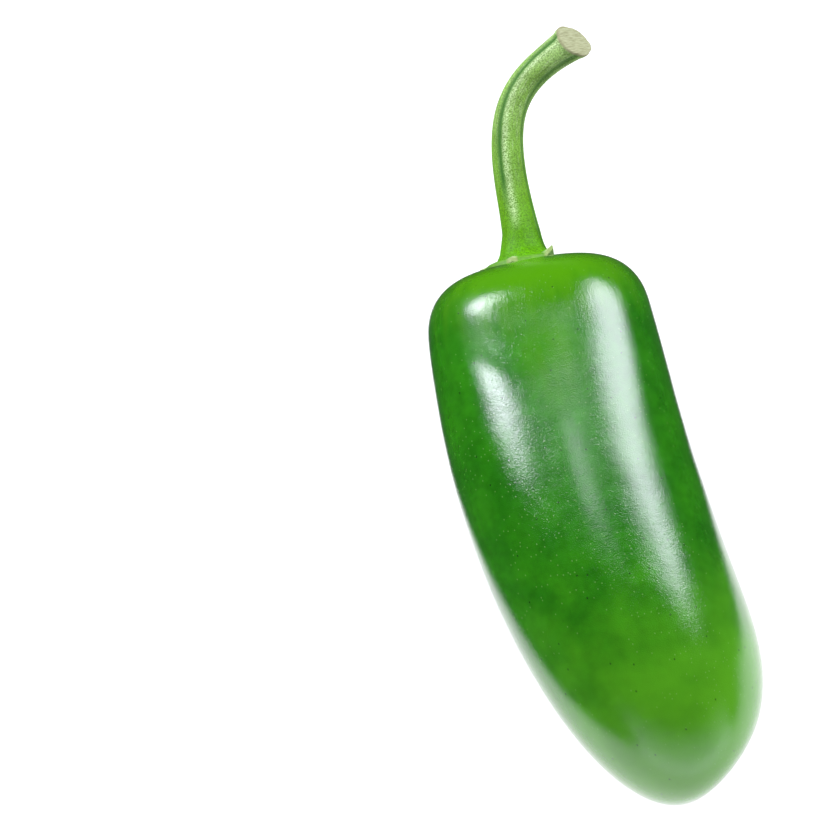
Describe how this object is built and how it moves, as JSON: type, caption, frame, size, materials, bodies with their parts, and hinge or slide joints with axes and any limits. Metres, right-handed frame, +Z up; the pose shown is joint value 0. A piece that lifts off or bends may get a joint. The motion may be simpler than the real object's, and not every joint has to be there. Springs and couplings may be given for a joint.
{
  "type": "chilli pepper",
  "caption": "Whole green chilli pepper of the blunt, thick kind, as picked, with its calyx and curved stem, lying on its side.",
  "frame": {"origin": "on the surface it lies on, under the middle of the whole pepper's box", "axes": "+Y is the pepper's long way, from the tip towards the stem; +Z up from the surface it lies on; +X to the side that the stem's end curls to"},
  "size_m": [0.037, 0.1101, 0.0329],
  "materials": {
    "pod": "smooth waxy skin, glossy",
    "calyx": "soft matt green, dry at the tooth tips",
    "stem": "satin green with fine lengthwise ribs, pale fibrous cut end"
  },
  "bodies": {
    "root": {"pod": "pod", "calyx": "calyx", "stem": "stem"}
  },
  "joints": []
}
